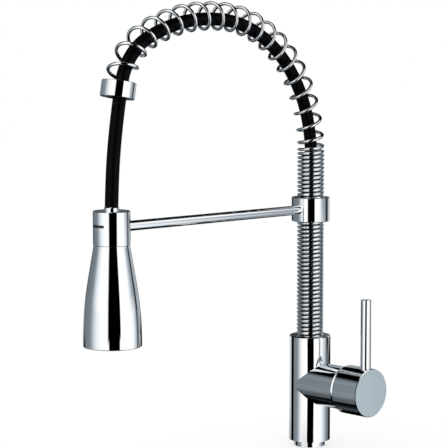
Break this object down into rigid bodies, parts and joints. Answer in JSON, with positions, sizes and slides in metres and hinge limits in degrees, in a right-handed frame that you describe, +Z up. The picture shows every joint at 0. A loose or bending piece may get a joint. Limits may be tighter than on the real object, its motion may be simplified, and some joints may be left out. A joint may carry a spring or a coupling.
{
  "type": "kitchen mixer tap",
  "caption": "Single-lever kitchen mixer tap: upright body with a side lever, spring-wound hose spout over a swivel column, and a pull-off spray head docked on a level arm.",
  "frame": {"origin": "centre of the body's underside, on the column's axis, level with the worktop that the tap stands on", "axes": "+Z up along the column, -Y from the column towards the spray head, +X from the column towards the lever's hub"},
  "size_m": [0.1144, 0.3338, 0.4706],
  "materials": {
    "chrome": "polished",
    "brass": "machined",
    "steel": "drawn",
    "black_rubber": "smooth",
    "black_plastic": "moulded",
    "white_plastic": "moulded",
    "ceramic": "lapped ceramic"
  },
  "bodies": {
    "base": {"mixer_body": "chrome", "base_ring": "chrome", "deck_gasket": "black_rubber", "cartridge_housing": "white_plastic", "cartridge_seals": "black_rubber", "fixed_ceramic_disc": "ceramic", "cartridge_nut": "brass", "cover_dome": "chrome", "swivel_screw": "steel"},
    "temperature_carrier": {"cartridge_rotor": "white_plastic", "stem_pivot_pin": "steel"},
    "disc_slider": {"moving_ceramic_disc": "ceramic"},
    "handle": {"cartridge_stem": "steel", "handle_hub": "chrome", "lever_rod": "chrome", "hub_grub_screw": "steel", "hub_screw_plug": "black_plastic"},
    "spout": {"riser_tube": "steel", "swivel_spigot": "brass", "swivel_bush": "black_plastic", "swivel_o_rings": "black_rubber", "riser_top_guide": "black_plastic", "hose_nipple": "brass", "hose_crimp_sleeve": "steel", "hose": "black_rubber", "hose_drop": "black_rubber", "spring": "chrome", "spring_end_ferrule": "chrome", "ferrule_liner": "black_plastic", "arm_collar": "chrome", "collar_grub_screw": "steel", "support_arm": "chrome", "dock_peg": "black_plastic"},
    "spray_head": {"neck_shell": "chrome", "bell_shell": "chrome", "hose_end_fitting": "chrome", "connector_nut": "brass", "hose_washer": "black_rubber", "diverter_housing": "brass", "check_valve": "black_plastic", "flow_tube": "white_plastic", "spray_plate": "black_plastic", "spray_plate_seal": "black_rubber", "spray_nozzles": "black_rubber", "aerator": "white_plastic", "dock_socket_bush": "black_plastic"},
    "selector": {"selector_bar": "black_plastic", "diverter_spindle": "brass", "selector_spring": "steel"}
  },
  "joints": [
    {"name": "spout_swivel", "type": "hinge", "parent": "base", "child": "spout", "pos_m": [0, 0, 0.093], "axis": [0, 0, 1], "continuous": true},
    {"name": "temperature_turn", "type": "hinge", "parent": "base", "child": "temperature_carrier", "pos_m": [0.0417, 0, 0.0615], "axis": [1, 0, 0], "range_deg": [-45, 45]},
    {"name": "flow_tilt", "type": "hinge", "parent": "temperature_carrier", "child": "handle", "pos_m": [0.0417, 0, 0.0615], "axis": [0, 1, 0], "range_deg": [0, 25]},
    {"name": "disc_slide", "type": "slide", "parent": "temperature_carrier", "child": "disc_slider", "axis": [0, 0, 1], "range_m": [0, 0.00508]},
    {"name": "head_undock", "type": "slide", "parent": "spout", "child": "spray_head", "axis": [0, -1, 0], "range_m": [0, 0.06], "deforming": ["hose_drop"]},
    {"name": "selector_press", "type": "slide", "parent": "spray_head", "child": "selector", "axis": [0, 1, 0], "range_m": [0, 0.0012], "stiffness_N_per_m": 300, "springref_m": -0.003, "deforming": ["selector_spring"]}
  ],
  "couplings": [
    {"joint": "disc_slide", "follows": "flow_tilt", "m_per_rad": 0.01162}
  ]
}
